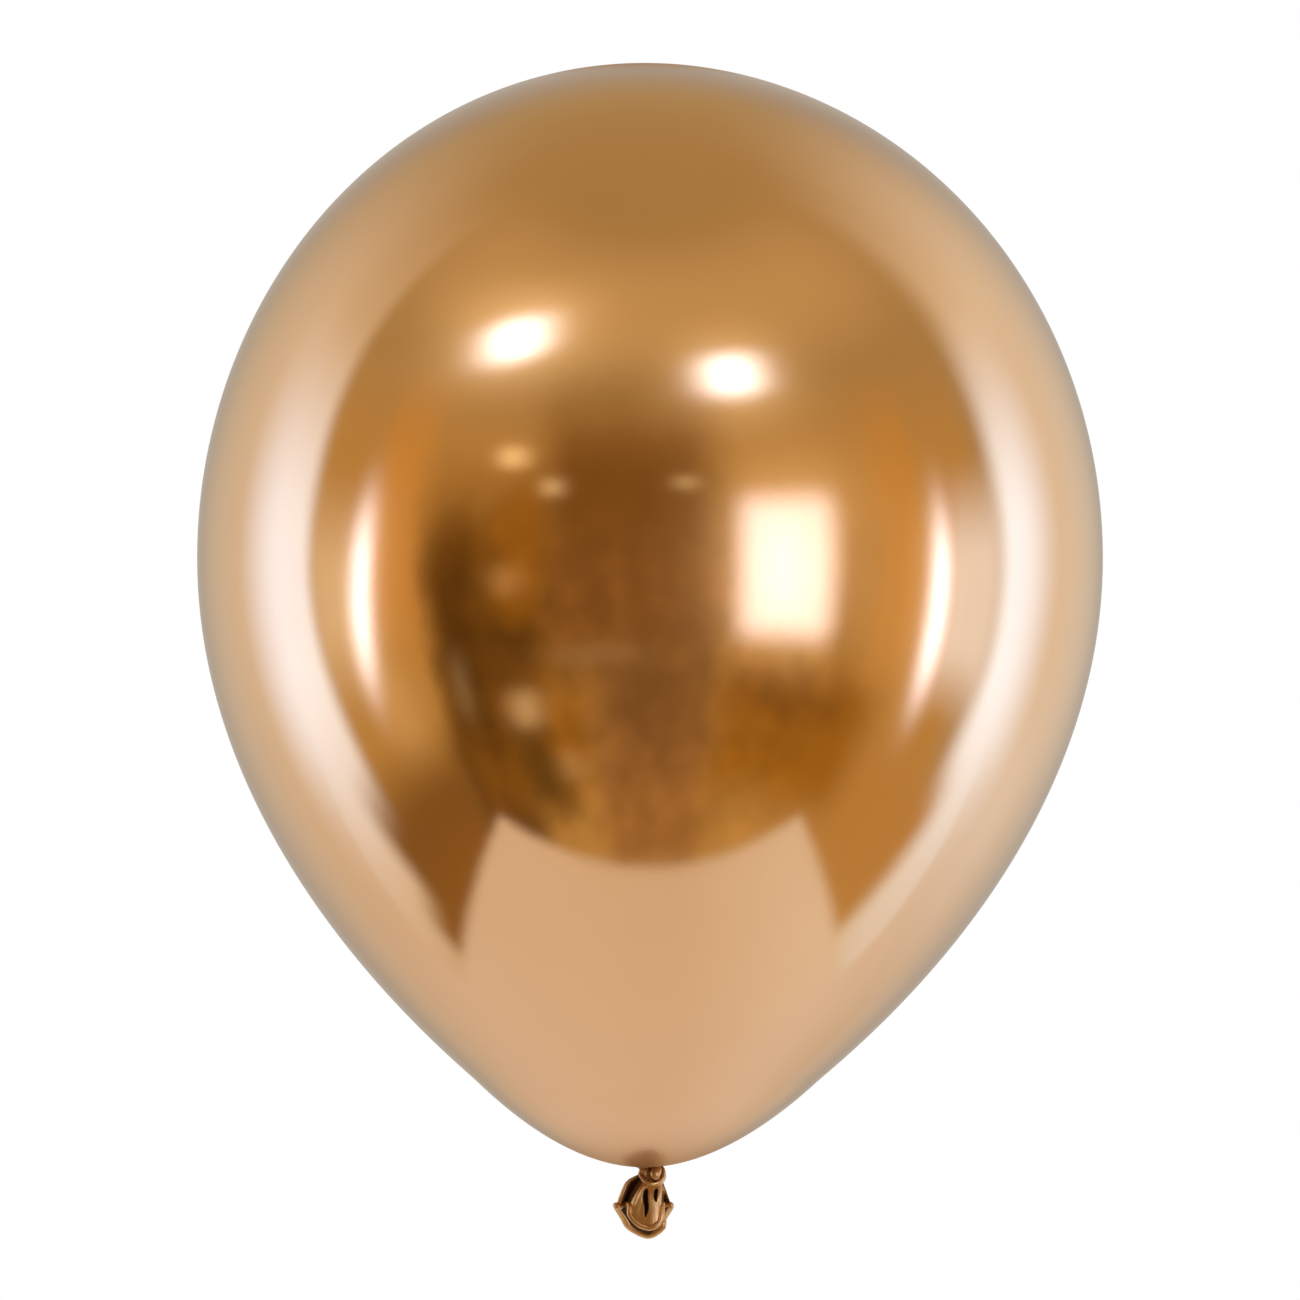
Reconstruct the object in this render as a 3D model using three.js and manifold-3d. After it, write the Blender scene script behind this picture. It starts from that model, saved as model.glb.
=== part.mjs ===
// A tied and inflated latex balloon, 300 mm across.
//
// Millimetres, +Z up along the balloon's axis, -Y to the front. The origin is on the axis in
// the groove between the body and the knot, where a ribbon is tied. Everything above the
// origin is inflated skin. Below it hang the neck strand, the knot and the open tail with
// its rolled rim. One dipped skin makes them all, and here each of them is a solid of its own.

import * as THREE from 'three';
import { mergeVertices } from 'three/addons/utils/BufferGeometryUtils.js';
import Module from 'manifold-3d';

const wasm = await Module();
wasm.setup();

const radians = THREE.MathUtils.degToRad;
const smoothstep = THREE.MathUtils.smoothstep;

// The gap that neighbouring pieces keep, and the little more that faceted curves need.
const GAP = 0.3;
const SLACK = 0.05;

// The inflated body: half an ellipse above the widest line, and two curves below it that
// meet at the hip, where the lower body turns in to a flatter base.
const BODY_RADIUS = 150;
const CROWN_Z = 366.8;
const WIDEST_Z = 202.9;
const HIP_RADIUS = 56.6;
const HIP_Z = 29.5;
const HIP_SLOPE = radians(43.4);
const BASE_RADIUS = 4.6;
const BASE_Z = 1.0;
const BASE_SLOPE = radians(5.5);
const FULLNESS = { belowWidest: 98.1, aboveHip: 12.1, belowHip: 32.1, aboveBase: 10.9 };
const SKIN = 0.15;
const BODY_RINGS = 26;
const BODY_SEGMENTS = 40;

// The collar: the gathered skin that fills the hole in the base.
const COLLAR_RADIUS = BASE_RADIUS - GAP - SLACK;
const COLLAR_TOP = 1.4;
const COLLAR_BOTTOM = 0.1;
const COLLAR_BEVEL = 0.2;
const COLLAR_WAIST = { share: 0.72, rise: 0.45 };
const COLLAR_PLEATS = 12;
const PLEAT_DEPTH = 0.3;

// The neck strand, which comes down to the knot left of the axis. The knot leans about it.
const STRAND_RADIUS = 1.4;
const STRAND_X = -1.3;
const STRAND_Z = COLLAR_BOTTOM - GAP - STRAND_RADIUS;

// The knot: a loop of twisted neck, thickest at its front right, and the core through it.
const LOOP_CENTRE = new THREE.Vector3(1.3, 0.2, -3.8);
const LOOP_RADIUS = 2.9;
const LOOP_THICKNESS = 1.35;
const LOOP_TILT = radians(-17);
const BULGE = 0.75;
const BULGE_AZIMUTH = radians(-50);
const BULGE_SPREAD = radians(45);
const CORE_RADIUS = 1.1;
const CORE_TOP = -1.9;
const CORE_BOTTOM = -6.8;

// The tail: an open skirt, flattened front to back, that swings below the knot.
const TAIL_X = -1.2;
const TAIL_Z = -8.2;
const THROAT_RADIUS = 1.9;
const MOUTH_HALF_WIDTH = 8.6;
const MOUTH_HALF_DEPTH = 4.2;
const CORNER_Z = -4.2;
const FRONT_DROP = 6.05;
const BACK_DROP = 10.45;
const SHOULDER = { starts: 0.35, peak: 0.7, lift: 1.5 };
const TAIL_WALL = 0.7;
const CROWN_WALL = 1.0;
const TAIL_SEGMENTS = 40;
const TAIL_RINGS = 12;
const CUT_BELOW = 6;

// The bead rolled up at the edge of the mouth.
const RIM_RADIUS = 0.95;

// The raised fold on the tail's front, with its two slits.
const FOLD_THICKNESS = 0.9;
const FOLD_X = 1.2;
const FOLD_HALF_WIDTH = 5.0;
const FOLD_TOP = -0.3;
const FOLD_BOTTOM = -9.4;
const SLITS = [
  { x: 0.3, halfWidth: 0.6, top: -1.1, bottom: -7.0 },
  { x: 3.6, halfWidth: 0.5, top: -1.1, bottom: -3.4 },
];

const COPPER = 0xd9a97c;
const DARK_COPPER = 0xb07a48;

const balloon = new THREE.Group();

function latex(color, roughness) {
  return new THREE.MeshStandardMaterial({ color, roughness, metalness: 0.6 });
}

function add(parent, name, geometry, color, roughness = 0.2) {
  const mesh = new THREE.Mesh(geometry, latex(color, roughness));
  mesh.name = name;
  parent.add(mesh);
  return mesh;
}

// A profile of (radius, height) points turned about Z.
function revolve(points, segments) {
  return new THREE.LatheGeometry(points, segments).rotateX(Math.PI / 2);
}

// Moves each point of a geometry to where place(point) puts it.
function warp(geometry, place) {
  const position = geometry.getAttribute('position');
  const point = new THREE.Vector3();
  for (let i = 0; i < position.count; i += 1) {
    place(point.fromBufferAttribute(position, i));
    position.setXYZ(i, point.x, point.y, point.z);
  }
  return geometry;
}

function toManifold(geometry) {
  const bare = geometry.clone();
  bare.deleteAttribute('normal');
  bare.deleteAttribute('uv');
  const merged = mergeVertices(bare, 1e-4);
  return new wasm.Manifold(new wasm.Mesh({
    numProp: 3,
    vertProperties: new Float32Array(merged.getAttribute('position').array),
    triVerts: new Uint32Array(merged.index.array),
  }));
}

function toGeometry(manifold) {
  const mesh = manifold.getMesh();
  const geometry = new THREE.BufferGeometry();
  geometry.setAttribute('position', new THREE.BufferAttribute(mesh.vertProperties, 3));
  geometry.setIndex(new THREE.BufferAttribute(mesh.triVerts, 1));
  geometry.computeVertexNormals();
  return geometry;
}

// --- Body ---

// The half outline of the body, from the edge of the base up to the crown.
function bodyOutline() {
  const away = (slope, reach) => [reach * Math.cos(slope), reach * Math.sin(slope)];
  const [baseX, baseZ] = away(BASE_SLOPE, FULLNESS.aboveBase);
  const [lowX, lowZ] = away(HIP_SLOPE, FULLNESS.belowHip);
  const [highX, highZ] = away(HIP_SLOPE, FULLNESS.aboveHip);
  const outline = new THREE.Path();
  outline.moveTo(BASE_RADIUS, BASE_Z);
  outline.bezierCurveTo(
    BASE_RADIUS + baseX, BASE_Z + baseZ,
    HIP_RADIUS - lowX, HIP_Z - lowZ,
    HIP_RADIUS, HIP_Z,
  );
  outline.bezierCurveTo(
    HIP_RADIUS + highX, HIP_Z + highZ,
    BODY_RADIUS, WIDEST_Z - FULLNESS.belowWidest,
    BODY_RADIUS, WIDEST_Z,
  );
  outline.absellipse(0, WIDEST_Z, BODY_RADIUS, CROWN_Z - WIDEST_Z, 0, Math.PI / 2, false);
  return outline;
}

// The skin: the outline from the crown down to the base, and back up one skin further in.
function envelope() {
  const outline = bodyOutline();
  const outside = [];
  const inside = [];
  for (let i = 0; i <= BODY_RINGS; i += 1) {
    const u = i / BODY_RINGS;
    const point = outline.getPointAt(u);
    const tangent = outline.getTangentAt(u);
    outside.push(point);
    inside.push(new THREE.Vector2(point.x - tangent.y * SKIN, point.y + tangent.x * SKIN));
  }
  outside[BODY_RINGS].x = 0;
  inside[BODY_RINGS].x = 0;
  return revolve([...inside.reverse(), ...outside], BODY_SEGMENTS);
}

// --- Neck ---

function neckCollar() {
  const profile = [
    new THREE.Vector2(0, COLLAR_BOTTOM),
    new THREE.Vector2(COLLAR_RADIUS / 2, COLLAR_BOTTOM),
    new THREE.Vector2(COLLAR_RADIUS * COLLAR_WAIST.share, COLLAR_BOTTOM + COLLAR_WAIST.rise),
    new THREE.Vector2(COLLAR_RADIUS, BASE_Z - SLACK),
    new THREE.Vector2(COLLAR_RADIUS - COLLAR_BEVEL, COLLAR_TOP),
    new THREE.Vector2(0, COLLAR_TOP),
  ];
  const pleat = (point) => {
    const radius = Math.hypot(point.x, point.y);
    const fold = 1 - Math.cos(COLLAR_PLEATS * Math.atan2(point.y, point.x));
    const factor = 1 - (fold / 2) * (PLEAT_DEPTH / COLLAR_RADIUS);
    if (radius > 0) {
      point.x *= factor;
      point.y *= factor;
    }
  };
  return warp(revolve(profile, COLLAR_PLEATS * 2), pleat);
}

function neckStrand() {
  return new THREE.SphereGeometry(STRAND_RADIUS, 20, 14);
}

// --- Knot ---

// How far the loop swells at an azimuth about its own centre.
function swell(azimuth) {
  const away = (azimuth - BULGE_AZIMUTH) / BULGE_SPREAD;
  return BULGE * Math.exp(-away * away);
}

// The bulge grows outwards, so the hole through the loop stays round.
function knotLoop() {
  const ring = new THREE.TorusGeometry(LOOP_RADIUS, LOOP_THICKNESS, 12, 32);
  const thicken = (point) => {
    const azimuth = Math.atan2(point.y, point.x);
    const extra = swell(azimuth);
    const across = Math.hypot(point.x, point.y) - LOOP_RADIUS;
    const scale = 1 + extra / LOOP_THICKNESS;
    const radius = LOOP_RADIUS + extra + across * scale;
    point.set(radius * Math.cos(azimuth), radius * Math.sin(azimuth), point.z * scale);
  };
  return warp(ring, thicken).rotateY(LOOP_TILT);
}

function knotCore() {
  const straight = CORE_TOP - CORE_BOTTOM - 2 * CORE_RADIUS;
  return new THREE.CapsuleGeometry(CORE_RADIUS, straight, 5, 16).rotateX(Math.PI / 2);
}

// --- Tail ---

// The skirt's slope for a mouth one unit wide, from the throat out to the corner of the
// mouth. Each point is (share of the half width, height above the tail's pivot).
function skirtSlope() {
  const throat = THROAT_RADIUS / MOUTH_HALF_WIDTH;
  return new THREE.SplineCurve([
    new THREE.Vector2(0, THROAT_RADIUS),
    new THREE.Vector2(throat * 0.75, THROAT_RADIUS * 0.6),
    new THREE.Vector2(throat * 1.2, -0.4),
    new THREE.Vector2(0.62, -1.2),
    new THREE.Vector2(0.88, -2.4),
    new THREE.Vector2(1, CORNER_Z),
  ]).getPoints(TAIL_RINGS);
}

// How far the edge of the mouth hangs below its corners, by the sine of its azimuth.
function droop(sine) {
  return sine * sine * (sine < 0 ? FRONT_DROP : BACK_DROP);
}

// A closed bell in the skirt's shape. grow moves its wall out, lower moves it down, and
// below is how far it goes on under the edge of the mouth.
function bell(grow, lower, below) {
  const slope = skirtSlope();
  const edge = slope[slope.length - 1];
  const profile = [
    new THREE.Vector2(0, edge.y - FRONT_DROP - below),
    new THREE.Vector2(1, edge.y - below),
    ...slope.reverse(),
  ];
  profile[profile.length - 1].x = 0;
  const flatten = (point) => {
    const share = Math.hypot(point.x, point.y);
    const sine = share > 0 ? point.y / share : 0;
    const rise = smoothstep(share, SHOULDER.starts, SHOULDER.peak);
    const lift = SHOULDER.lift * rise * (1 - smoothstep(share, SHOULDER.peak, 1));
    point.x *= MOUTH_HALF_WIDTH + grow;
    point.y *= MOUTH_HALF_DEPTH + grow;
    point.z += lift * (1 - sine * sine) - share ** 3 * droop(sine) - lower;
  };
  return toManifold(warp(revolve(profile, TAIL_SEGMENTS), flatten));
}

// A closed tube that follows the edge of the mouth.
function rimTube(radius) {
  const points = [];
  for (let i = 0; i < TAIL_SEGMENTS; i += 1) {
    const azimuth = (i / TAIL_SEGMENTS) * 2 * Math.PI;
    points.push(new THREE.Vector3(
      MOUTH_HALF_WIDTH * Math.cos(azimuth),
      MOUTH_HALF_DEPTH * Math.sin(azimuth),
      CORNER_Z - droop(Math.sin(azimuth)),
    ));
  }
  const edge = new THREE.CatmullRomCurve3(points, true);
  return new THREE.TubeGeometry(edge, 56, radius, 8, true);
}

const rimClearance = toManifold(rimTube(RIM_RADIUS + GAP));

function tailSkirt() {
  const hollow = bell(-TAIL_WALL, CROWN_WALL, CUT_BELOW);
  return toGeometry(bell(0, 0, 0).subtract(hollow).subtract(rimClearance));
}

// A rounded tongue, pushed from front to back, seen from the front.
function tongue(x, halfWidth, top, bottom) {
  const shape = new THREE.Shape();
  shape.moveTo(x - halfWidth, top);
  shape.lineTo(x - halfWidth, bottom + halfWidth);
  shape.absarc(x, bottom + halfWidth, halfWidth, Math.PI, 2 * Math.PI, false);
  shape.lineTo(x + halfWidth, top);
  shape.closePath();
  const depth = 4 * MOUTH_HALF_DEPTH;
  const push = new THREE.ExtrudeGeometry(shape, { depth, bevelEnabled: false, curveSegments: 10 });
  return toManifold(push.rotateX(Math.PI / 2));
}

// The fold is a layer that lies on the skirt's front, one gap away from it.
function tailFold() {
  const outer = bell(GAP + FOLD_THICKNESS, -GAP - FOLD_THICKNESS, 0);
  const inner = bell(GAP + SLACK, -GAP - SLACK, CUT_BELOW);
  let fold = outer.subtract(inner).intersect(
    tongue(FOLD_X, FOLD_HALF_WIDTH, FOLD_TOP, FOLD_BOTTOM),
  );
  for (const slit of SLITS) {
    fold = fold.subtract(tongue(slit.x, slit.halfWidth, slit.top, slit.bottom));
  }
  return toGeometry(fold.subtract(rimClearance));
}

add(balloon, 'envelope', envelope(), COPPER, 0.15);
add(balloon, 'neck_collar', neckCollar(), COPPER);
add(balloon, 'neck_strand', neckStrand(), DARK_COPPER).position.set(STRAND_X, 0, STRAND_Z);
add(balloon, 'knot_loop', knotLoop(), DARK_COPPER).position.copy(LOOP_CENTRE);
add(balloon, 'knot_core', knotCore(), DARK_COPPER).position.set(
  LOOP_CENTRE.x,
  LOOP_CENTRE.y,
  (CORE_TOP + CORE_BOTTOM) / 2,
);

const tail = new THREE.Group();
tail.position.set(TAIL_X, 0, TAIL_Z);
balloon.add(tail);
add(tail, 'tail_skirt', tailSkirt(), DARK_COPPER);
add(tail, 'tail_fold', tailFold(), COPPER);
add(tail, 'rolled_rim', rimTube(RIM_RADIUS), COPPER);

export default balloon;
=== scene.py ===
"""A tied, inflated latex balloon with a mirror-like copper skin, in the frame of its CAD model.

+Z is up along the balloon's axis, -Y is to the front, and the origin is in the neck groove. The
body is in metres. The knot and the tail are worked out in millimetres, and their meshes are in
metres too.
"""

import math

import bpy
import numpy as np
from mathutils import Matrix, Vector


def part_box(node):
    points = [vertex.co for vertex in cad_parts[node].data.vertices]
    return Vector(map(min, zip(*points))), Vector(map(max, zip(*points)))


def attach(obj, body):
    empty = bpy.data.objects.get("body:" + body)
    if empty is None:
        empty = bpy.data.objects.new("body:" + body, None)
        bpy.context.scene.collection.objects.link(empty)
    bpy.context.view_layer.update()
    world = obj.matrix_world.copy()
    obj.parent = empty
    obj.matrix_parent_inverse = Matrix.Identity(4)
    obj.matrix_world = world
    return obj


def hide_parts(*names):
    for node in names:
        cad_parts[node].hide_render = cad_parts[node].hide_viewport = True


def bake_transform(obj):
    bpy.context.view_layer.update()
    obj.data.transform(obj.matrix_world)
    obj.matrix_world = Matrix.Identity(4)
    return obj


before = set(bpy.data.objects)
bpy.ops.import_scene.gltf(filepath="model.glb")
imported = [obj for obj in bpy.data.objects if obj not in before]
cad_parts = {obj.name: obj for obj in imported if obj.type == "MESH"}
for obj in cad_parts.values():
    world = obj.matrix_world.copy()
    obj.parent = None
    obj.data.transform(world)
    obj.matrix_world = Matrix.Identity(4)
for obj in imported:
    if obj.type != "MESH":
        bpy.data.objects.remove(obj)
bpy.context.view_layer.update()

MM = 0.001
WHOLE_TURN = 2 * math.pi

# The inflated body, which fills the CAD solid's height. Its outline has three curves: one from
# the base to the hip, one from the hip to the widest place, and the dome. FULLNESS is how far
# the first two keep the direction that they have at their ends.
BASE_Z, CROWN_Z = (float(corner[2]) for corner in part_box("envelope"))
BODY_RADIUS = 0.150
WIDEST_Z = 0.2029
HIP = (0.0566, 0.0295)
HIP_SLOPE = math.radians(43.4)
BASE_RADIUS = 0.0046
BASE_SLOPE = math.radians(5.5)
FULLNESS = {"below_widest": 0.0981, "above_hip": 0.0121, "below_hip": 0.0321, "above_base": 0.0109}

# How far the body's axis stands to the right at mid height and at both ends.
LEAN_MIDDLE = 0.0005
LEAN_END = -0.0014

# The gathered funnel in which the body ends, inside the groove, and how far out from it the
# film is pleated and how far it is dull. The film is this dull at the funnel. The dullness also
# darkens the colour towards the neck: partly the thicker latex there, and partly painted shade
# above the knot.
FUNNEL_RADIUS = 0.0012
FUNNEL_Z = -0.0012
FUNNEL_BEND = 0.0012
GATHER_REACH = 0.009
DULL_AND_SHADE_REACH = 0.055
DULLNESS_AND_SHADE = 0.65


# --- Curves and surfaces ---


def bezier(p0, p1, p2, p3, count):
    """count points on a cubic curve, without its last one."""
    t = np.linspace(0, 1, count, endpoint=False)[:, None]
    p0, p1, p2, p3 = (np.array(p, float) for p in (p0, p1, p2, p3))
    s = 1 - t
    return s**3 * p0 + 3 * s**2 * t * p1 + 3 * s * t**2 * p2 + t**3 * p3


def through(points, count, closed=False):
    """count points on a smooth curve through the given ones (Catmull-Rom)."""
    points = np.array(points, float)
    n = len(points)
    if closed:
        padded = np.concatenate([points[-1:], points, points[:2]])
        t = np.linspace(0, n, count, endpoint=False)
    else:
        first = 2 * points[:1] - points[1:2]
        last = 2 * points[-1:] - points[-2:-1]
        padded = np.concatenate([first, points, last])
        t = np.linspace(0, n - 1, count)
    i = np.minimum(t.astype(int), n - 1 if closed else n - 2)
    f = (t - i).reshape((-1,) + (1,) * (points.ndim - 1))
    p0, p1, p2, p3 = padded[i], padded[i + 1], padded[i + 2], padded[i + 3]
    return 0.5 * (
        2 * p1
        + (p2 - p0) * f
        + (2 * p0 - 5 * p1 + 4 * p2 - p3) * f**2
        + (3 * p1 - p0 - 3 * p2 + p3) * f**3
    )


def ease(value, low, high):
    """0 at low, 1 at high, with a smooth rise between."""
    t = np.clip((value - low) / (high - low), 0, 1)
    return t * t * (3 - 2 * t)


def noise(points, seed):
    """A smooth wandering value from about -1 to 1 at each point, over distances of about 1."""
    rng = np.random.default_rng(seed)
    total = np.zeros(points.shape[:-1])
    for octave in range(4):
        wave = rng.normal(size=(3, 3)) * 1.7**octave
        phase = rng.uniform(0, WHOLE_TURN, 3)
        total += np.sin(points @ wave.T + phase).prod(-1) / 1.5**octave
    return total / 1.5


def turns(rows, columns):
    """The share of the way down each row is, and the angle round of each column."""
    t = np.linspace(0, 1, rows)[:, None]
    angle = np.linspace(0, WHOLE_TURN, columns, endpoint=False)[None, :]
    return t, angle


def wander(rows, columns, along, around, seed):
    """A noise over a grid. It changes along times down the rows, and around times round a turn."""
    t = np.linspace(0, along, rows)[:, None]
    angle = np.linspace(0, WHOLE_TURN, columns, endpoint=False)[None, :]
    reach = around / WHOLE_TURN
    ring = [reach * np.cos(angle) + 0 * t, reach * np.sin(angle) + 0 * t, t + 0 * angle]
    return noise(np.stack(ring, axis=-1), seed)


# A grid is rows x columns x xyz. Its columns close on themselves. Rows that go down, with
# columns that go counter-clockwise seen from above, face outwards.


def outward(grid, closed_rows=False):
    """The direction that the surface faces at each point of a grid."""
    if closed_rows:
        along = np.roll(grid, -1, 0) - np.roll(grid, 1, 0)
    else:
        along = np.gradient(grid, axis=0)
    around = np.roll(grid, -1, 1) - np.roll(grid, 1, 1)
    normal = np.cross(along, around)
    return normal / np.maximum(np.linalg.norm(normal, axis=-1, keepdims=True), 1e-12)


def swell(grid, amount, closed_rows=False):
    """The grid with each point moved outwards by amount."""
    return grid + outward(grid, closed_rows) * np.asarray(amount)[..., None]


def rings(path, facing, radius, columns=32, closed=False):
    """A grid of rings round a path, whose first column looks the facing way."""
    if closed:
        tangent = np.roll(path, -1, 0) - np.roll(path, 1, 0)
    else:
        tangent = np.gradient(path, axis=0)
    tangent = tangent / np.linalg.norm(tangent, axis=1, keepdims=True)
    side = facing - (facing * tangent).sum(1, keepdims=True) * tangent
    side = side / np.linalg.norm(side, axis=1, keepdims=True)
    other = np.cross(side, tangent)
    angle = np.linspace(0, WHOLE_TURN, columns, endpoint=False)[None, :, None]
    radius = np.asarray(radius, float).reshape(len(path), -1, 1)
    spokes = side[:, None] * np.cos(angle) + other[:, None] * np.sin(angle)
    return path[:, None] + radius * spokes


def creases(grid, depth, closed_rows=False, passes=6):
    """How deep each point lies under the evened surface, from 0 on the ridges to 1 at depth."""
    smooth = grid
    for _ in range(passes):
        if closed_rows:
            above, below = np.roll(smooth, 1, 0), np.roll(smooth, -1, 0)
        else:
            above, below = smooth[np.r_[0, : len(smooth) - 1]], smooth[np.r_[1 : len(smooth), -1]]
        smooth = (above + below + np.roll(smooth, 1, 1) + np.roll(smooth, -1, 1)) / 4
    sunk = ((smooth - grid) * outward(smooth, closed_rows)).sum(-1)
    return np.clip(sunk / depth, 0, 1)


def skin(name, materials, grid, fold, closed_rows=False, cap_top=False, cap_bottom=False):
    """A smooth mesh over a grid, which keeps fold as the attribute that the latex reads: it dulls the
    film and darkens its colour with painted shade.

    A second material covers the second half of the rows, which is the inside of a shell.
    """
    rows, columns = grid.shape[:2]
    faces = []
    for r in range(rows if closed_rows else rows - 1):
        for c in range(columns):
            a, b = r * columns, ((r + 1) % rows) * columns
            d = (c + 1) % columns
            faces.append((a + c, b + c, b + d, a + d))
    verts = [tuple(p) for p in grid.reshape(-1, 3)]
    fold = list(np.broadcast_to(fold, (rows, columns)).reshape(-1))
    for wanted, row, upside_down in ((cap_top, 0, False), (cap_bottom, rows - 1, True)):
        if wanted:
            # The cap's tip stands a third of a row beyond the last ring.
            next_row = grid[1 if row == 0 else rows - 2]
            verts.append(tuple((4 * grid[row].mean(0) - next_row.mean(0)) / 3))
            fold.append(fold[row * columns])
            for c in range(columns):
                a, b = row * columns + c, row * columns + (c + 1) % columns
                middle = len(verts) - 1
                faces.append((middle, b, a) if upside_down else (middle, a, b))
    mesh = bpy.data.meshes.new(name)
    mesh.from_pydata(verts, [], faces)
    mesh.attributes.new("fold", "FLOAT", "POINT").data.foreach_set("value", fold)
    mesh.polygons.foreach_set("use_smooth", [True] * len(mesh.polygons))
    for material in materials:
        mesh.materials.append(material)
    if len(materials) > 1:
        second_half = [int(face >= len(faces) // 2) for face in range(len(faces))]
        mesh.polygons.foreach_set("material_index", second_half)
    mesh.update()
    piece = bpy.data.objects.new(name, mesh)
    bpy.context.scene.collection.objects.link(piece)
    return piece


# --- Nodes ---


class Graph:
    """Short names for building a node tree."""

    def __init__(self, tree):
        self.tree = tree
        tree.nodes.clear()

    def node(self, kind, **settings):
        node = self.tree.nodes.new(kind)
        for key, value in settings.items():
            setattr(node, key, value)
        return node

    def feed(self, socket, value):
        """Links a socket to another, or sets its value."""
        if isinstance(value, bpy.types.NodeSocket):
            self.tree.links.new(value, socket)
        else:
            socket.default_value = value

    def math(self, operation, a, b=0.0):
        node = self.node("ShaderNodeMath", operation=operation)
        self.feed(node.inputs[0], a)
        self.feed(node.inputs[1], b)
        return node.outputs[0]

    def step(self, value, low, high, top=1.0):
        """0 at low, top at high and beyond, with a smooth rise between."""
        node = self.node("ShaderNodeMapRange", interpolation_type="SMOOTHSTEP")
        self.feed(node.inputs["Value"], value)
        node.inputs["From Min"].default_value = min(low, high)
        node.inputs["From Max"].default_value = max(low, high)
        node.inputs["To Min"].default_value = 0.0 if low < high else top
        node.inputs["To Max"].default_value = top if low < high else 0.0
        return node.outputs["Result"]

    def mix(self, factor, a, b, blend="MIX"):
        """Two colours mixed. Inputs 6 and 7 and output 2 are the mix node's colour sockets."""
        node = self.node("ShaderNodeMix", data_type="RGBA", blend_type=blend, clamp_factor=False)
        self.feed(node.inputs["Factor"], factor)
        self.feed(node.inputs[6], a if isinstance(a, bpy.types.NodeSocket) else (*a, 1.0))
        self.feed(node.inputs[7], b if isinstance(b, bpy.types.NodeSocket) else (*b, 1.0))
        return node.outputs[2]

    def noise(self, place, scale, detail):
        node = self.node("ShaderNodeTexNoise")
        self.feed(node.inputs["Vector"], place)
        node.inputs["Scale"].default_value = scale
        node.inputs["Detail"].default_value = detail
        return node.outputs["Fac"]


# --- The studio ---

# The studio is drawn as the balloon sees it, in degrees: azimuth 0 is towards the camera and
# +90 to the right, and elevation +90 is overhead. Its sheets are painted one over another, on
# the colour of the room. Each has a span and a softness at either edge, both ways, and a colour.
ROOM = (0.57, 0.45, 0.235)
SHEETS = [
    # name, azimuth span, softness, elevation span, softness, colour
    ("back_wall", (-400, 400), (1, 1), (-90, 12), (1, 30), (0.62, 0.54, 0.42)),
    ("behind_left", (-400, -152), (1, 14), (-30, 42), (14, 16), (0.48, 0.42, 0.35)),
    ("behind_right", (152, 400), (14, 1), (-30, 42), (14, 16), (0.48, 0.42, 0.35)),
    ("ceiling", (-92, 92), (34, 34), (42, 66), (10, 12), (0.76, 0.61, 0.35)),
    ("side_left", (-138, -94), (24, 4), (-54, 45), (14, 24), (0.98, 0.95, 0.86)),
    ("side_right", (101, 144), (9, 24), (-62, 50), (14, 24), (1.03, 1.02, 0.95)),
    ("room", (-93, 92), (4, 6), (-62, 27), (3, 13), (0.70, 0.49, 0.18)),
    ("peak_left", (-116, -94), (12, 4), (-32, 18), (20, 18), (1.5, 2.05, 3.4)),
    ("near_left", (-93, -80), (4, 3), (-18, 6), (10, 10), (1.06, 1.0, 0.84)),
    ("low_right_glow", (106, 134), (6, 14), (-54, -20), (8, 14), (1.08, 1.22, 1.45)),
    ("peak_right", (98, 115), (5, 12), (-34, 20), (20, 18), (1.55, 2.2, 3.7)),
    ("near_right", (82, 98), (3, 5), (-20, 8), (7, 9), (1.22, 1.44, 1.95)),
    ("left_wedge", (-103, -60), (5, 6), (-58, -35), (3, 7), (0.32, 0.185, 0.055)),
    ("left_tip", (-113, -60), (5, 6), (-60, -47), (3, 4), (0.36, 0.20, 0.05)),
    ("left_corner", (-62, -40), (5, 6), (-56, -32), (3, 6), (0.19, 0.105, 0.03)),
    ("right_wedge", (62, 104), (8, 6), (-58, -32), (3, 6), (0.72, 0.48, 0.18)),
]
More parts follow.
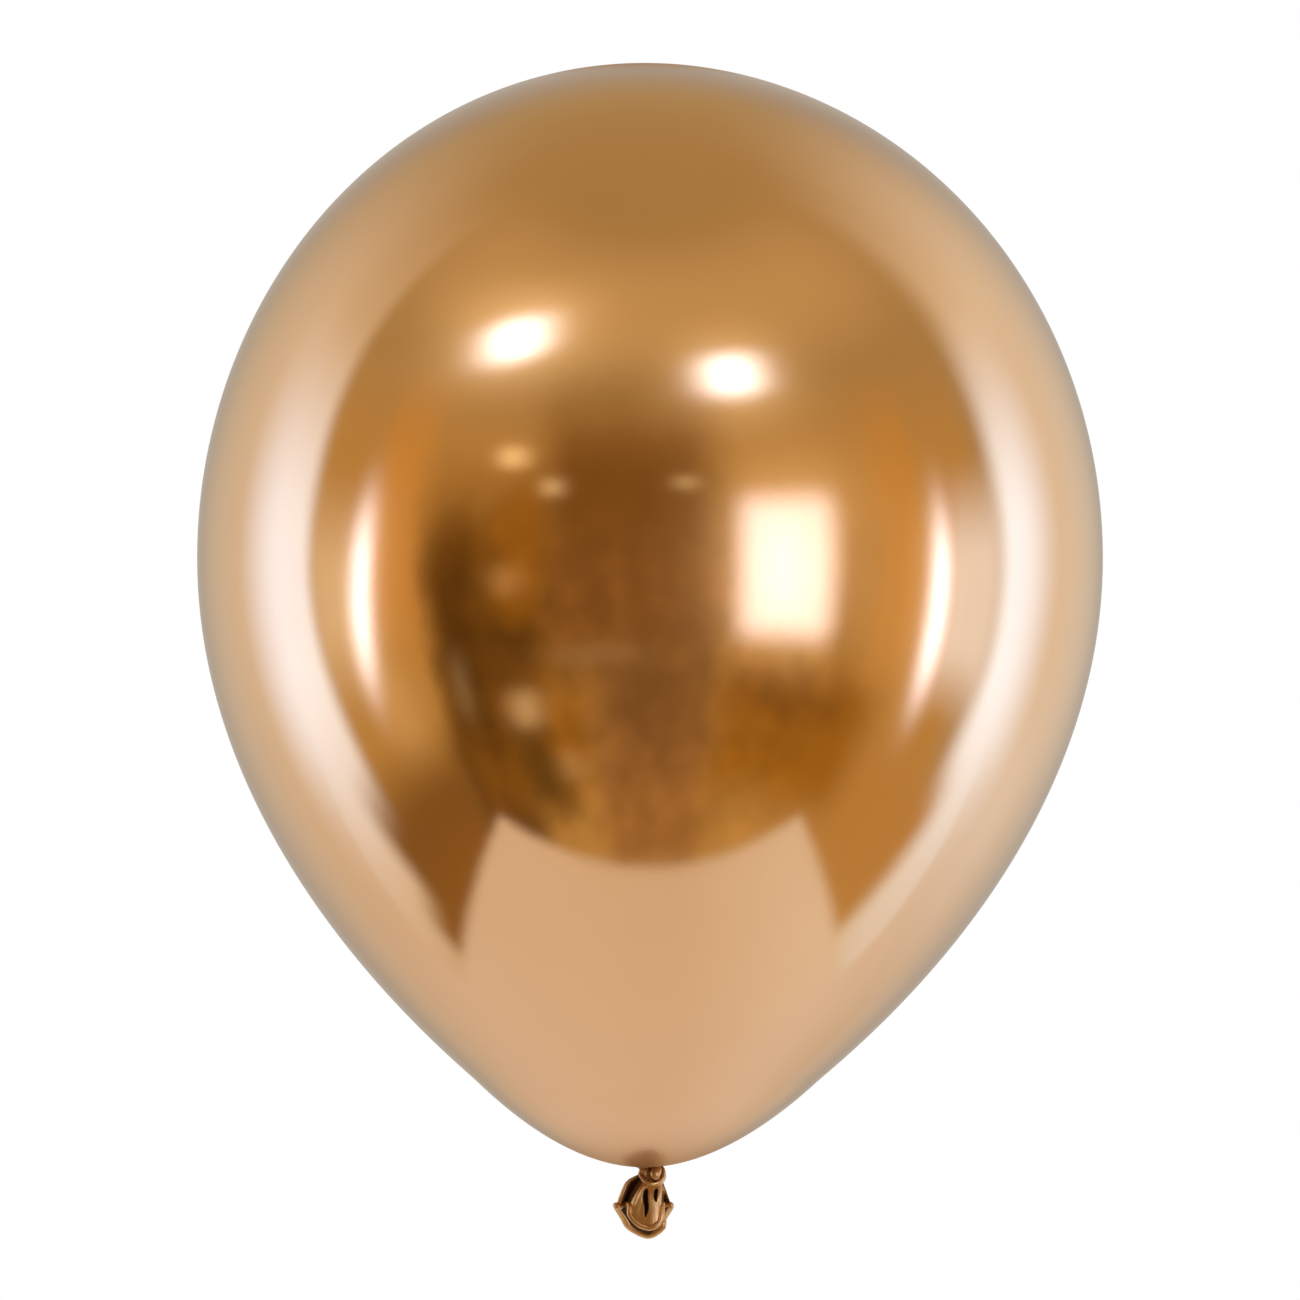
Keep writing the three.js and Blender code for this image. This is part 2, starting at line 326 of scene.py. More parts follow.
# What stands in the room in front of the balloon, listed in the same way.
CLUTTER = [
    ("left_panel", (-72, -58), (4, 6), (-14, 26), (12, 12), (0.84, 0.52, 0.16)),
    ("left_dark", (-57, -24), (6, 8), (-50, 12), (8, 12), (0.31, 0.17, 0.03)),
    ("left_shade", (-57, -43), (5, 6), (-38, 2), (9, 10), (0.165, 0.09, 0.018)),
    ("left_shelf", (-46, -28), (5, 6), (-24, -12), (5, 5), (0.18, 0.10, 0.022)),
    ("left_floor", (-40, -24), (6, 6), (-50, -36), (6, 6), (0.16, 0.10, 0.025)),
    ("centre_dark", (-27, 17), (8, 9), (-25, 29), (13, 15), (0.28, 0.155, 0.038)),
    ("centre_low", (-24, 14), (8, 9), (-22, 2), (9, 10), (0.33, 0.185, 0.06)),
    ("amber_column", (-38, -27), (4, 5), (-10, 13), (7, 8), (0.46, 0.24, 0.03)),
    ("right_panel", (58, 72), (8, 4), (-20, 24), (10, 12), (0.80, 0.50, 0.15)),
    ("right_post", (47, 56), (6, 6), (-34, 8), (9, 14), (0.50, 0.30, 0.06)),
    ("low_middle", (-18, 20), (8, 9), (-62, -28), (4, 12), (0.47, 0.285, 0.115)),
    ("low_shadow", (-14, 16), (9, 9), (-40, -18), (10, 10), (0.31, 0.19, 0.08)),
    ("low_right", (20, 64), (7, 8), (-48, -24), (7, 5), (0.49, 0.27, 0.04)),
    ("low_shade", (22, 56), (6, 6), (-33, -25), (5, 5), (0.35, 0.185, 0.03)),
    ("amber_left", (-30, -18), (5, 5), (-46, -28), (7, 6), (0.46, 0.25, 0.04)),
]
# The clutter's outlines wander within about this many degrees. The darker part of the room, in
# the DAPPLED spans, is multiplied by a cloud that spans DAPPLE round 1.
WOBBLE = 7.0
WOBBLE_SCALES = (5.0, 6.0)
DAPPLE = 0.9
DAPPLE_SCALE = 9.0
DAPPLED = ((-55, 50), (9, 12), (-58, 8), (6, 14))

# The lights, which are added to the sheets. A white one of strength 1 looks near white on the
# copper skin. The golden ones are the halos round them and small spots in the room.
WHITE_LIGHT = np.array([1.5, 2.2, 4.4])
GOLDEN_LIGHT = np.array([1.4, 1.5, 1.3])
WINDOW = ((22.5, 46), (4.5, 5), (-16.5, 11.5), (4, 4))
WINDOW_STRENGTH = 0.62
WHITE_GLOWS = [
    # name, azimuth, elevation, width, height, turn, strength
    ("lamp_left", -43.5, 43.5, 5.4, 3.7, -22, 1.7),
    ("lamp_right", 24.0, 37.5, 5.2, 3.6, 0, 1.6),
    ("window_core", 32.5, -2.5, 6.5, 9.0, 0, 0.32),
    ("strip_left", -77.2, -6.0, 2.4, 11.5, 9, 1.3),
    ("strip_right", 77.4, -8.0, 2.4, 12.0, 0, 1.35),
]
GOLDEN_GLOWS = [
    ("lamp_left_halo", -43.5, 44.0, 12.0, 9.0, -14, 0.36),
    ("lamp_right_halo", 24.0, 37.0, 10.0, 8.5, 0, 0.28),
    ("window_halo", 36.0, -1.0, 14.0, 15.0, 0, 0.36),
    ("strip_left_halo", -73.0, -5.0, 5.0, 14.0, 9, 0.14),
    ("strip_right_halo", 73.0, -7.0, 5.0, 14.0, 0, 0.14),
    ("ledge_left", -73.0, -27.0, 4.5, 6.0, 0, 0.10),
    ("spot_1", -35.5, 19.5, 2.9, 1.7, 0, 0.62),
    ("spot_2", -24.5, 13.8, 2.2, 1.4, 0, 0.48),
    ("spot_3", 9.0, 15.0, 2.4, 1.2, 0, 0.32),
    ("spot_4", -36.0, -5.0, 3.2, 2.6, 0, 0.12),
    ("spot_5", -35.0, -31.0, 3.0, 3.0, 0, 0.32),
    ("spot_6", -14.0, -21.0, 8.0, 2.0, 0, 0.07),
    ("spot_7", -52.0, -25.0, 1.8, 5.0, 0, 0.10),
    ("spot_8", -25.0, -43.0, 2.4, 2.4, 0, 0.12),
]
# The power that shapes a glow across, which makes a bell, and up, which is a little squarer.
GLOW_POWERS = (2.0, 3.0)

# The white floor that the balloon floats above. Its edges are tangents: how far aside or ahead
# they lie, for each metre that the floor lies below. Behind the balloon it widens and darkens,
# and it fades out towards the horizon.
FLOOR_HALF_WIDTH = 0.74
FLOOR_FRONT = 0.50
EDGE_BLUR = 0.04
FLOOR_WIDENS = (-0.45, -1.6)
FLOOR_WIDER_BY = 6.0
FLOOR_DARKENS = (-0.2, -1.2)
FLOOR_FADES_IN = (-20, -50)
FLOOR_WHITE = (0.98, 0.945, 0.95)
FLOOR_RIGHT = (1.08, 1.12, 1.2)
FLOOR_BACK = (0.86, 0.77, 0.65)


def span(g, value, edges, softness):
    """1 between the two edges and 0 outside them."""
    low = g.step(value, edges[0] - softness[0], edges[0] + softness[0])
    high = g.step(value, edges[1] + softness[1], edges[1] - softness[1])
    return g.math("MULTIPLY", low, high)


def patch(g, azimuth, elevation, az, soft_az, el, soft_el):
    """1 inside the spans of azimuth and elevation and 0 outside them."""
    return g.math("MULTIPLY", span(g, azimuth, az, soft_az), span(g, elevation, el, soft_el))


def glow(g, azimuth, elevation, az, el, width, height, turn):
    """A round glow, turned by some degrees, that is 1 in its middle and fades out."""
    across = g.math("MULTIPLY", g.math("SUBTRACT", azimuth, az), math.cos(math.radians(el)))
    up = g.math("SUBTRACT", elevation, el)
    c, s = math.cos(math.radians(turn)), math.sin(math.radians(turn))
    turned = g.math("ADD", g.math("MULTIPLY", across, c), g.math("MULTIPLY", up, -s))
    up = g.math("ADD", g.math("MULTIPLY", across, s), g.math("MULTIPLY", up, c))
    a = g.math("POWER", g.math("ABSOLUTE", g.math("DIVIDE", turned, width)), GLOW_POWERS[0])
    b = g.math("POWER", g.math("ABSOLUTE", g.math("DIVIDE", up, height)), GLOW_POWERS[1])
    return g.math("EXPONENT", g.math("MULTIPLY", g.math("ADD", a, b), -0.5))


def uneven(g, place, scale, height):
    """A cloudy value round 0, up to about half of height either way."""
    return g.math("MULTIPLY", g.math("SUBTRACT", g.noise(place, scale, 4.0), 0.5), height)


def floor_seen(g, x, front, z, elevation):
    """How much of the floor the balloon sees in each direction, and the floor's colour there."""
    down = g.math("MAXIMUM", g.math("MULTIPLY", z, -1.0), 0.001)
    aside = g.math("ABSOLUTE", g.math("DIVIDE", x, down))
    ahead = g.math("DIVIDE", front, down)
    wider = g.math("MULTIPLY", g.step(ahead, *FLOOR_WIDENS), FLOOR_WIDER_BY)
    reach = g.math("SUBTRACT", aside, wider)
    within = g.math(
        "MULTIPLY",
        g.step(reach, FLOOR_HALF_WIDTH + EDGE_BLUR, FLOOR_HALF_WIDTH - EDGE_BLUR),
        g.step(ahead, FLOOR_FRONT + EDGE_BLUR, FLOOR_FRONT - EDGE_BLUR),
    )
    colour = g.mix(g.step(x, 0.05, 0.6), FLOOR_WHITE, FLOOR_RIGHT)
    colour = g.mix(g.step(ahead, *FLOOR_DARKENS), colour, FLOOR_BACK)
    return g.math("MULTIPLY", within, g.step(elevation, *FLOOR_FADES_IN)), colour


def studio():
    """The room that the skin mirrors. The camera itself sees plain white."""
    world = bpy.data.worlds.new("studio")
    bpy.context.scene.world = world
    world.use_nodes = True
    g = Graph(world.node_tree)
    direction = g.node("ShaderNodeTexCoord").outputs["Generated"]
    split = g.node("ShaderNodeSeparateXYZ")
    g.feed(split.inputs[0], direction)
    x, y, z = split.outputs
    to_degrees = math.degrees(1)
    front = g.math("MULTIPLY", y, -1.0)
    azimuth = g.math("MULTIPLY", g.math("ARCTAN2", x, front), to_degrees)
    elevation = g.math("MULTIPLY", g.math("ARCSINE", z), to_degrees)
    uneven_azimuth = g.math("ADD", azimuth, uneven(g, direction, WOBBLE_SCALES[0], WOBBLE))
    uneven_elevation = g.math("ADD", elevation, uneven(g, direction, WOBBLE_SCALES[1], WOBBLE))
    colour = ROOM
    for _, *spans, shade in SHEETS:
        colour = g.mix(patch(g, azimuth, elevation, *spans), colour, shade)
    for _, *spans, shade in CLUTTER:
        colour = g.mix(patch(g, uneven_azimuth, uneven_elevation, *spans), colour, shade)
    dappled = patch(g, azimuth, elevation, *DAPPLED)
    cloud = uneven(g, direction, DAPPLE_SCALE, DAPPLE)
    dapple = g.math("ADD", g.math("MULTIPLY", cloud, dappled), 1.0)
    grey = g.node("ShaderNodeCombineColor")
    for socket in grey.inputs[:3]:
        g.feed(socket, dapple)
    colour = g.mix(1.0, colour, grey.outputs[0], "MULTIPLY")
    cover, floor_colour = floor_seen(g, x, front, z, elevation)
    colour = g.mix(cover, colour, floor_colour)
    cover = patch(g, azimuth, elevation, *WINDOW)
    colour = g.mix(cover, colour, WINDOW_STRENGTH * WHITE_LIGHT, "ADD")
    for light, glows in ((WHITE_LIGHT, WHITE_GLOWS), (GOLDEN_LIGHT, GOLDEN_GLOWS)):
        for _, *shape, strength in glows:
            colour = g.mix(glow(g, azimuth, elevation, *shape), colour, strength * light, "ADD")
    seen = g.node("ShaderNodeLightPath").outputs["Is Camera Ray"]
    colour = g.mix(seen, colour, (1.0, 1.0, 1.0))
    background = g.node("ShaderNodeBackground")
    g.feed(background.inputs["Color"], colour)
    out = g.node("ShaderNodeOutputWorld")
    g.feed(out.inputs["Surface"], background.outputs[0])


def pale_floor(radius=2.2, height=-0.6):
    """A plain pale floor, far enough below that it stays out of the front view.

    The skin mirrors the floor that the studio draws, and not this one.
    """
    bpy.ops.mesh.primitive_circle_add(
        vertices=96, radius=radius, fill_type="NGON", location=(0, 0, height)
    )
    floor = bpy.context.active_object
    floor.name = "floor"
    floor.visible_glossy = False
    material = bpy.data.materials.new("pale_floor")
    material.use_nodes = True
    g = Graph(material.node_tree)
    light = g.node("ShaderNodeEmission")
    light.inputs["Color"].default_value = (0.97, 0.97, 0.97, 1.0)
    out = g.node("ShaderNodeOutputMaterial")
    g.feed(out.inputs["Surface"], light.outputs[0])
    floor.data.materials.append(material)


def camera(place=(0.0005, -1.8, 0.1725), lens=150):
    """A long lens that looks at the balloon straight from the front."""
    eye = bpy.data.cameras.new("camera")
    eye.sensor_width = 36
    eye.lens = lens
    holder = bpy.data.objects.new("camera", eye)
    holder.location = place
    holder.rotation_euler = (math.pi / 2, 0, 0)
    bpy.context.scene.collection.objects.link(holder)
    bpy.context.scene.camera = holder


# --- Latex ---

# How much rougher the film is at the bottom of a fold, and how deep in it the coat ends.
FOLD_ROUGHNESS = 0.7
COAT_ENDS = 0.5
COAT_ROUGHNESS = 0.08
CLOUD_ROUGHNESS = 0.03
GRAIN_HEIGHT = 0.0003


def latex(name, pale, deep, painted_crease_shade, metallic, roughness, coat, grain, relief):
    """A metallic latex film: clouded from pale to deep, and dull, with no coat, in its folds, where
    painted shade also darkens its colour.
    """
    material = bpy.data.materials.new(name)
    material.use_nodes = True
    g = Graph(material.node_tree)
    place = g.node("ShaderNodeTexCoord").outputs["Object"]
    fold = g.node("ShaderNodeAttribute", attribute_name="fold").outputs["Fac"]
    cloud = g.noise(place, grain, 3.0)
    film = g.mix(g.step(cloud, 0.3, 0.75), pale, deep)
    shader = g.node("ShaderNodeBsdfPrincipled")
    # Painted shade: the colour darkens towards the crease shade colour as the square of the fold.
    g.feed(shader.inputs["Base Color"], g.mix(g.math("MULTIPLY", fold, fold), film, painted_crease_shade))
    shader.inputs["Metallic"].default_value = metallic
    rough = g.math("ADD", g.step(cloud, 0.2, 0.8, top=CLOUD_ROUGHNESS), roughness)
    dulled = g.math("ADD", rough, g.math("MULTIPLY", fold, FOLD_ROUGHNESS))
    g.feed(shader.inputs["Roughness"], dulled)
    g.feed(shader.inputs["Coat Weight"], g.step(fold, COAT_ENDS, 0.0, top=coat))
    shader.inputs["Coat Roughness"].default_value = COAT_ROUGHNESS
    bump = g.node("ShaderNodeBump")
    bump.inputs["Strength"].default_value = relief
    bump.inputs["Distance"].default_value = GRAIN_HEIGHT
    g.feed(bump.inputs["Height"], g.noise(place, grain * 12, 2.0))
    g.feed(shader.inputs["Normal"], bump.outputs["Normal"])
    out = g.node("ShaderNodeOutputMaterial")
    g.feed(out.inputs["Surface"], shader.outputs[0])
    return material


def bare_latex():
    """The inner face of the film, which has no shine: dull brown latex with a dusty bloom, made very
    dark, partly as painted shade inside the tail.
    """
    material = bpy.data.materials.new("shaded_inner_film")
    material.use_nodes = True
    g = Graph(material.node_tree)
    place = g.node("ShaderNodeTexCoord").outputs["Object"]
    bloom = g.noise(place, 400.0, 4.0)
    shader = g.node("ShaderNodeBsdfPrincipled")
    # Painted shade: the inner face is very dark brown, partly the bare latex and partly the shade inside
    # the tail.
    dull = g.mix(g.step(bloom, 0.35, 0.7), (0.06, 0.027, 0.009), (0.11, 0.052, 0.02))
    g.feed(shader.inputs["Base Color"], dull)
    shader.inputs["Specular IOR Level"].default_value = 0.15
    g.feed(shader.inputs["Roughness"], g.math("ADD", g.step(bloom, 0.2, 0.8, top=0.15), 0.6))
    bump = g.node("ShaderNodeBump")
    bump.inputs["Strength"].default_value = 0.2
    bump.inputs["Distance"].default_value = 0.0002
    g.feed(bump.inputs["Height"], bloom)
    g.feed(shader.inputs["Normal"], bump.outputs["Normal"])
    out = g.node("ShaderNodeOutputMaterial")
    g.feed(out.inputs["Surface"], shader.outputs[0])
    return material


# --- Body ---


def body_profile():
    """(radius, height) from the crown down to the end of the funnel."""

    def away(slope, reach):
        """reach along a line that rises outwards at slope."""
        return np.array([reach * math.cos(slope), reach * math.sin(slope)])

    base = np.array([BASE_RADIUS, BASE_Z])
    hip = np.array(HIP)
    funnel = bezier(
        (FUNNEL_RADIUS, FUNNEL_Z),
        (FUNNEL_RADIUS, BASE_Z * 0.7),
        base - away(BASE_SLOPE, FUNNEL_BEND),
        base,
        10,
    )
    low = bezier(
        base,
        base + away(BASE_SLOPE, FULLNESS["above_base"]),
        hip - away(HIP_SLOPE, FULLNESS["below_hip"]),
        hip,
        40,
    )
    side = bezier(
        hip,
        hip + away(HIP_SLOPE, FULLNESS["above_hip"]),
        (BODY_RADIUS, WIDEST_Z - FULLNESS["below_widest"]),
        (BODY_RADIUS, WIDEST_Z),
        60,
    )
    angle = np.linspace(0, math.pi / 2, 70, endpoint=False)
    dome = np.stack(
        [BODY_RADIUS * np.cos(angle), WIDEST_Z + (CROWN_Z - WIDEST_Z) * np.sin(angle)], axis=1
    )
    return np.concatenate([funnel, low, side, dome])[::-1]


def balloon_skin(material, pleat_depth=0.05):
    """The inflated body in one skin, which gathers in pleats at the neck."""
    profile = body_profile()
    _, azimuth = turns(len(profile), 192)
    radius, height = profile[:, 0][:, None], profile[:, 1][:, None]
    gather = np.clip(1 - (radius - FUNNEL_RADIUS) / GATHER_REACH, 0, 1)
    pleats = np.cos(11 * azimuth + 0.6 * np.sin(2 * azimuth)) + 0.5 * np.cos(17 * azimuth + 1.0)
    radius = radius * (1 + pleat_depth * gather**8 * pleats)
    near_end = np.clip((2 * height / CROWN_Z - 1) ** 4, 0, 1)
    lean = LEAN_MIDDLE + (LEAN_END - LEAN_MIDDLE) * near_end
    grid = np.stack(
        [radius * np.cos(azimuth) + lean, radius * np.sin(azimuth), height + 0 * azimuth], axis=-1
    )
    # Towards the neck the film is duller and darker, partly from thicker latex and partly as painted
    # shade above the knot. The pleats get painted shade in their inward folds.
    dull = ease(radius, FUNNEL_RADIUS + DULL_AND_SHADE_REACH, FUNNEL_RADIUS)
    fold = DULLNESS_AND_SHADE * dull + gather**8 * np.clip(0.4 - 0.3 * pleats, 0, 1)
    return skin("balloon_skin", [material], grid, np.clip(fold, 0, 1), cap_top=True)


# --- Neck and knot ---

# The side that the first column of a tube looks to.
TO_THE_RIGHT = np.array([[1.0, 0.0, 0.0]])
# How far a point of a tube lies under the evened surface at the bottom of a crease.
CREASE_DEPTH = 0.12
# How far the latex wanders out and in.
UNEVENNESS = 0.03

STRAND = [(-1.5, 0.4, 1.4), (-1.6, 0.0, 0.2), (-1.7, -0.3, -1.2), (-1.3, -0.4, -2.8), (-0.6, -0.6, -4.6)]
STRAND_RADIUS = 1.4


def neck_strand(material):
    """The twisted strand of neck that comes down to the knot."""
    path = through(STRAND, 50)
    rows, columns = len(path), 64
    t, angle = turns(rows, columns)
    twist = 0.13 * np.cos(3 * angle + 3.2 * t) + 0.04 * np.cos(7 * angle - 4 * t)
    flare = 1.0 + 0.4 * (1 - t) ** 4 - 0.35 * t**3
    grid = rings(path, TO_THE_RIGHT, STRAND_RADIUS * flare * (1 + twist), columns)
    grid = swell(grid, UNEVENNESS * wander(rows, columns, 4, 9, 3))
    # Painted shade in the creases. The strand is also duller and a little darker all over.
    fold = np.clip(0.3 + creases(grid, CREASE_DEPTH), 0, 1)
    return skin("neck_strand_skin", [material], grid * MM, fold, cap_top=True, cap_bottom=True)


BULGE = [(2.6, 0.8, 0.6), (2.5, -0.9, -0.2), (2.2, -2.0, -1.6), (1.7, -1.4, -3.9)]
BULGE_RADIUS = 1.95


def knot_bulge(material):
    """The tight lobe of neck that shows at the front of the knot."""
    path = through(BULGE, 44)
    rows, columns = len(path), 56
    t, angle = turns(rows, columns)
    round_end = np.clip(1 - (2 * t - 1) ** 2, 0.02, 1) ** 0.4
    twist = 0.03 * np.cos(4 * angle + 4 * t)
    grid = rings(path, TO_THE_RIGHT, BULGE_RADIUS * round_end * (1 + twist), columns)
    grid = swell(grid, UNEVENNESS * wander(rows, columns, 4, 7, 11))
    # Painted shade: the fold darkens the colour in the creases.
    fold = creases(grid, CREASE_DEPTH)
    return skin("knot_bulge", [material], grid * MM, fold, cap_top=True, cap_bottom=True)


# The turn of neck round the lobe: behind it, down on its right, across the front under it and
# back up on the left, round the strand.
WRAP = [
    (-2.4, 1.2, -0.6),
    (0.6, 2.4, 0.0),
    (3.3, 1.9, 0.2),
    (4.6, 0.5, -1.0),
    (4.6, -1.0, -3.0),
    (3.4, -2.3, -4.4),
    (1.3, -3.2, -4.8),
    (-0.6, -3.2, -4.2),
    (-2.0, -2.4, -2.9),
    (-2.8, -0.6, -1.7),
    (-2.3, 1.0, -1.0),
]
WRAP_RADII = [1.2, 1.3, 1.35, 1.3, 1.1, 0.85, 0.72, 0.7, 0.7, 0.75, 0.8]
KNOT_MIDDLE = np.array([[1.2, 0.0, -2.4]])


def knot_wrap(material):
    """The turn of neck wrapped round the lobe, a little flattened and twisted along its way."""
    path = through(WRAP, 120)
    rows, columns = len(path), 40
    t, angle = turns(rows, columns)
    flat = 1 - 0.12 * np.cos(2 * angle)
    twist = 0.08 * np.cos(3 * angle + 9 * t) + 0.03 * np.cos(8 * angle - 12 * t)
    radius = through(WRAP_RADII, rows)[:, None] * flat * (1 + twist)
    grid = rings(path, path - KNOT_MIDDLE, radius, columns)
    grid = swell(grid, UNEVENNESS * wander(rows, columns, 12, 8, 5))
    # Painted shade: the fold darkens the colour in the creases.
    fold = creases(grid, CREASE_DEPTH)
    return skin("knot_wrap", [material], grid * MM, fold, cap_top=True, cap_bottom=True)


THROAT = [(0.6, 0.8, -0.4), (0.8, 0.4, -2.6), (0.7, 0.1, -5.0), (0.4, 0.0, -7.2)]
THROAT_RADIUS = 1.9
THROAT_SWELL = 0.5


def knot_throat(material):
    """The gathered neck that comes out of the knot into the tail."""
    path = through(THROAT, 40)
    rows, columns = len(path), 72
    t, angle = turns(rows, columns)
    pleats = 0.08 * np.cos(6 * angle + 2 * t) + 0.03 * np.cos(11 * angle)
    radius = (THROAT_RADIUS + THROAT_SWELL * np.sin(math.pi * t)) * (1 + pleats)
    grid = rings(path, TO_THE_RIGHT, radius, columns)
    # Painted shade in the creases. The throat is also duller and darker all over.
    fold = np.clip(0.5 + creases(grid, CREASE_DEPTH), 0, 1)
    return skin("knot_throat", [material], grid * MM, fold, cap_top=True, cap_bottom=True)


# --- Tail ---

# The tail's pleats, counter-clockwise from its left corner: each from the throat to the rim.
PLEATS = [
    [(-3.1, 0.6, -1.8), (-7.0, 0.6, -4.0), (-9.0, 0.5, -7.4), (-10.8, 0.0, -12.2)],
    [(-3.0, -0.1, -2.0), (-6.5, -0.5, -4.1), (-8.3, -0.9, -8.0), (-9.6, -0.6, -12.5)],
    [(-2.0, 0.2, -2.6), (-4.9, 1.2, -5.8), (-6.4, 1.4, -8.6), (-7.8, 1.6, -11.8)],
    [(-1.4, -2.4, -4.2), (-3.1, -3.6, -6.4), (-4.7, -4.0, -9.0), (-6.3, -3.0, -11.8)],
    [(-1.0, -2.7, -4.5), (-2.6, -4.0, -8.2), (-4.3, -4.4, -11.8), (-6.0, -4.4, -15.0)],
    [(-0.6, -2.8, -4.7), (-1.9, -4.1, -9.0), (-2.5, -4.5, -13.2), (-3.5, -4.9, -17.7)],
    [(-0.1, -2.9, -4.8), (-0.9, -4.4, -9.2), (-0.9, -4.8, -14.0), (-1.0, -5.1, -18.8)],
    [(0.5, -3.0, -4.8), (0.2, -4.8, -9.2), (0.3, -5.2, -14.0), (0.6, -5.2, -19.0)],
    [(1.3, -3.0, -4.8), (1.3, -4.7, -8.8), (1.8, -5.1, -13.4), (2.4, -5.0, -18.3)],
    [(2.2, -2.8, -4.8), (2.4, -4.4, -8.2), (2.9, -4.8, -12.2), (3.7, -4.6, -16.8)],
    [(3.1, -2.5, -4.8), (3.6, -4.2, -7.8), (3.9, -4.2, -10.8), (4.3, -4.0, -14.2)],
    [(3.8, -1.6, -4.8), (4.3, -3.0, -7.0), (4.4, -3.0, -9.4), (4.5, -2.6, -11.6)],
    [(4.3, -0.4, -4.8), (5.0, -0.5, -7.0), (5.2, 0.5, -9.4), (5.4, 1.6, -12.0)],
    [(4.9, 0.2, -4.6), (6.0, -0.1, -7.4), (6.7, 0.1, -9.8), (7.4, 0.0, -12.3)],
    [(3.4, 1.4, -4.4), (5.2, 2.8, -8.2), (5.8, 3.4, -12.4), (5.1, 3.7, -16.6)],
    [(2.0, 1.9, -4.1), (3.6, 3.8, -9.0), (4.3, 4.3, -14.8), (4.4, 4.4, -19.9)],
    [(0.6, 2.1, -3.6), (0.4, 4.1, -9.4), (0.0, 4.7, -15.8), (-0.2, 4.8, -22.6)],
    [(-0.8, 1.9, -3.1), (-3.0, 3.9, -8.4), (-4.6, 4.3, -14.2), (-6.1, 4.5, -19.8)],
    [(-2.2, 1.4, -2.5), (-5.6, 2.6, -6.0), (-7.4, 3.2, -11.0), (-8.4, 3.0, -16.2)],
]
# The two slits where the front is tucked in: across, half width, top and bottom, and depth.
SLITS = [(-0.8, 0.85, -6.0, -15.6, 2.4), (2.5, 0.65, -6.1, -10.3, 2.0)]
SLIT_EDGE = 0.35
# The painted shade of the hollows beside the raised front lies between the tail's two corners.
SHADED_HOLLOW_MIDDLE = -1.6
SHADED_HOLLOW_REACH = 7.4
TAIL_WALL = 0.35
TAIL_CREASE_DEPTH = 0.25
RIM_RADIUS = 0.95
RIM_CREASE_DEPTH = 0.15


def tail_surface(rows, columns):
    """The tail's outer surface through the pleats, from the throat down to the rim."""
    around = through(PLEATS, columns, closed=True)
    return through(around.swapaxes(0, 1), rows)


def tucks(grid):
    """How much each point of the tail belongs to a slit, from 0 to 1, and how deep it is tucked."""
    x, y, z = grid[..., 0], grid[..., 1], grid[..., 2]
    share, depth = np.zeros(x.shape), np.zeros(x.shape)
    for middle, half_width, top, bottom, reach in SLITS:
        # A slit is wider above, and it wanders a little from side to side.
        along = (2 * z - top - bottom) / (top - bottom)
        gap = half_width * np.sqrt(np.clip(1 - along**2, 0, 1)) * (1 + 0.25 * along)
        aside = np.abs(x - middle - 0.18 * np.sin(0.9 * z))
        tucked = ease(aside, gap + SLIT_EDGE / 2, gap - SLIT_EDGE) * (y < 0)
        tucked = tucked * ease(np.abs(along), 1.05, 0.85)
        share = np.maximum(share, tucked)
        depth = np.maximum(depth, tucked * reach)
    return share, depth


def tail_skin(materials):
    """The open tail below the knot, one thin shell with its pleats and slits."""
    rows, columns = 110, 420
    outer = tail_surface(rows, columns)
    tucked, depth = tucks(outer)
    inner = swell(outer, -TAIL_WALL)
    inner[..., 1] += depth
    outer[..., 1] += depth
    t, _ = turns(rows, columns)
    fine = wander(rows, columns, 3, 50, 21) + 0.5 * wander(rows, columns, 4, 90, 22)
    gathers = wander(rows, columns, 0.5, 60, 23) * (1 - t) ** 1.4
    outer = swell(outer, 0.035 * fine * (1 - 0.6 * t) + 0.12 * gathers)
    # Painted shade: the fold darkens the colour in the creases, in the tucked slits and in the hollows
    # beside the raised front.
    fold = np.clip(creases(outer, TAIL_CREASE_DEPTH) + tucked + painted_hollow_shade(outer), 0, 1)
    shell = np.concatenate([outer, inner[::-1]])
    return skin("tail_skin", materials, shell * MM, np.tile(fold, (2, 1)), closed_rows=True)


def painted_hollow_shade(grid):
    """Painted shade for the dark hollows beside the raised front, from 0 outside them to 1 at their
    bottom.
    """
    x, y = grid[..., 0], grid[..., 1]
    return ease(y, -1.0, 0.7) * ease(y, 2.2, 1.4) * (np.abs(x - SHADED_HOLLOW_MIDDLE) < SHADED_HOLLOW_REACH)


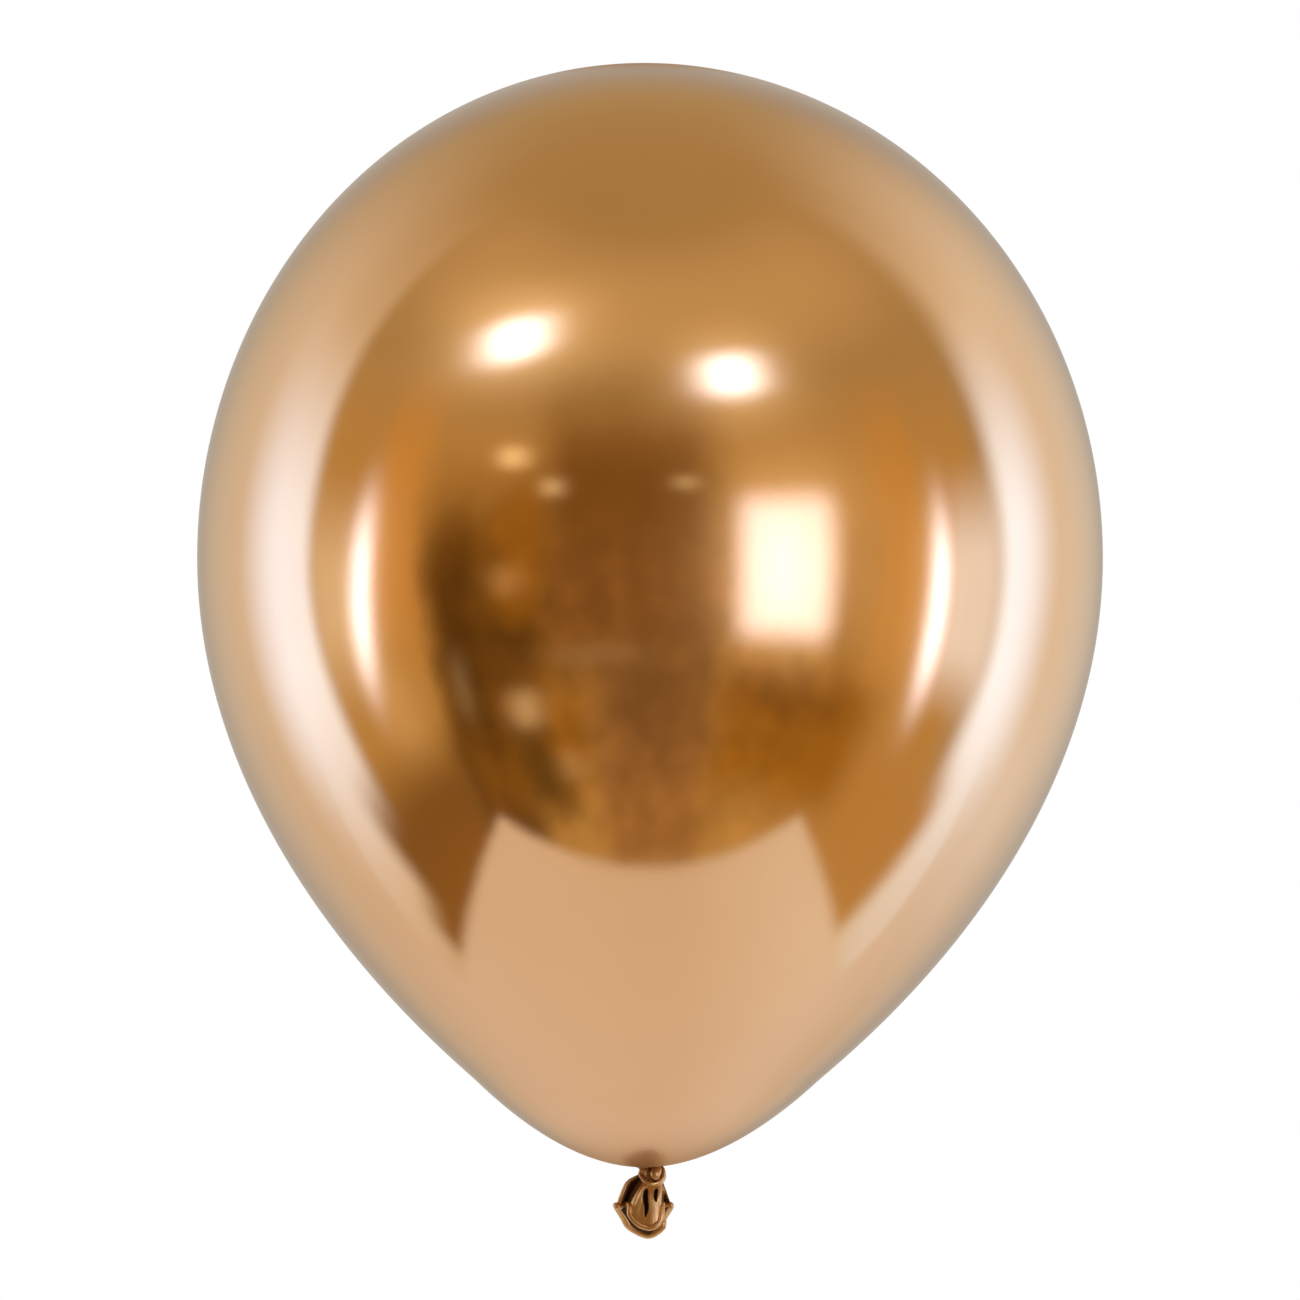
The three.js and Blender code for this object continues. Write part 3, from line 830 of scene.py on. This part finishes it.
def rim_bead(material):
    """The tightly rolled edge of the mouth."""
    rows, columns = 420, 32
    path = tail_surface(4, rows)[-1]
    t, angle = turns(rows, columns)
    rolled = 0.04 * np.cos(2 * angle + 0.5) + 0.03 * np.cos(5 * angle + np.sin(4 * math.pi * t))
    swollen = 0.09 * np.sin(10 * math.pi * t) * np.sin(6 * math.pi * t + 1)
    thicker_behind = 1 + 0.2 * ease(path[:, 1:2], -1, 3)
    radius = RIM_RADIUS * thicker_behind * (1 + rolled + swollen)
    grid = rings(path, path - path.mean(0), radius, columns, closed=True)
    # Painted shade: the fold darkens the colour in the creases.
    fold = creases(grid, RIM_CREASE_DEPTH, closed_rows=True)
    return skin("rim_bead", [material], grid * MM, fold, closed_rows=True)


# --- The balloon ---

studio()
pale_floor()
camera()
bpy.context.scene.view_settings.view_transform = "Standard"

stretched = latex(
    "stretched_film",
    pale=(0.67, 0.38, 0.165),
    deep=(0.64, 0.355, 0.15),
    painted_crease_shade=(0.39, 0.20, 0.07),
    metallic=1.0,
    roughness=0.07,
    coat=1.0,
    grain=9.0,
    relief=0.05,
)
gathered = latex(
    "gathered_film",
    pale=(0.55, 0.305, 0.11),
    deep=(0.45, 0.24, 0.08),
    painted_crease_shade=(0.09, 0.04, 0.012),
    metallic=0.93,
    roughness=0.32,
    coat=0.4,
    grain=160.0,
    relief=0.1,
)
rolled = latex(
    "rolled_film",
    pale=(0.57, 0.315, 0.115),
    deep=(0.47, 0.245, 0.085),
    painted_crease_shade=(0.16, 0.07, 0.02),
    metallic=0.9,
    roughness=0.3,
    coat=0.4,
    grain=220.0,
    relief=0.1,
)
inside = bare_latex()

body = balloon_skin(stretched)
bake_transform(body)
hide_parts("envelope", "neck_collar")

strand = neck_strand(gathered)
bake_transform(strand)
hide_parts("neck_strand")

bulge, wrap, throat = knot_bulge(gathered), knot_wrap(gathered), knot_throat(gathered)
for piece in (bulge, wrap, throat):
    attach(piece, "knot")
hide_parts("knot_loop")
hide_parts("knot_core")

tail = tail_skin([gathered, inside])
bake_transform(tail)
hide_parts("tail_skirt", "tail_fold")

rim = rim_bead(rolled)
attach(rim, "tail")
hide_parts("rolled_rim")
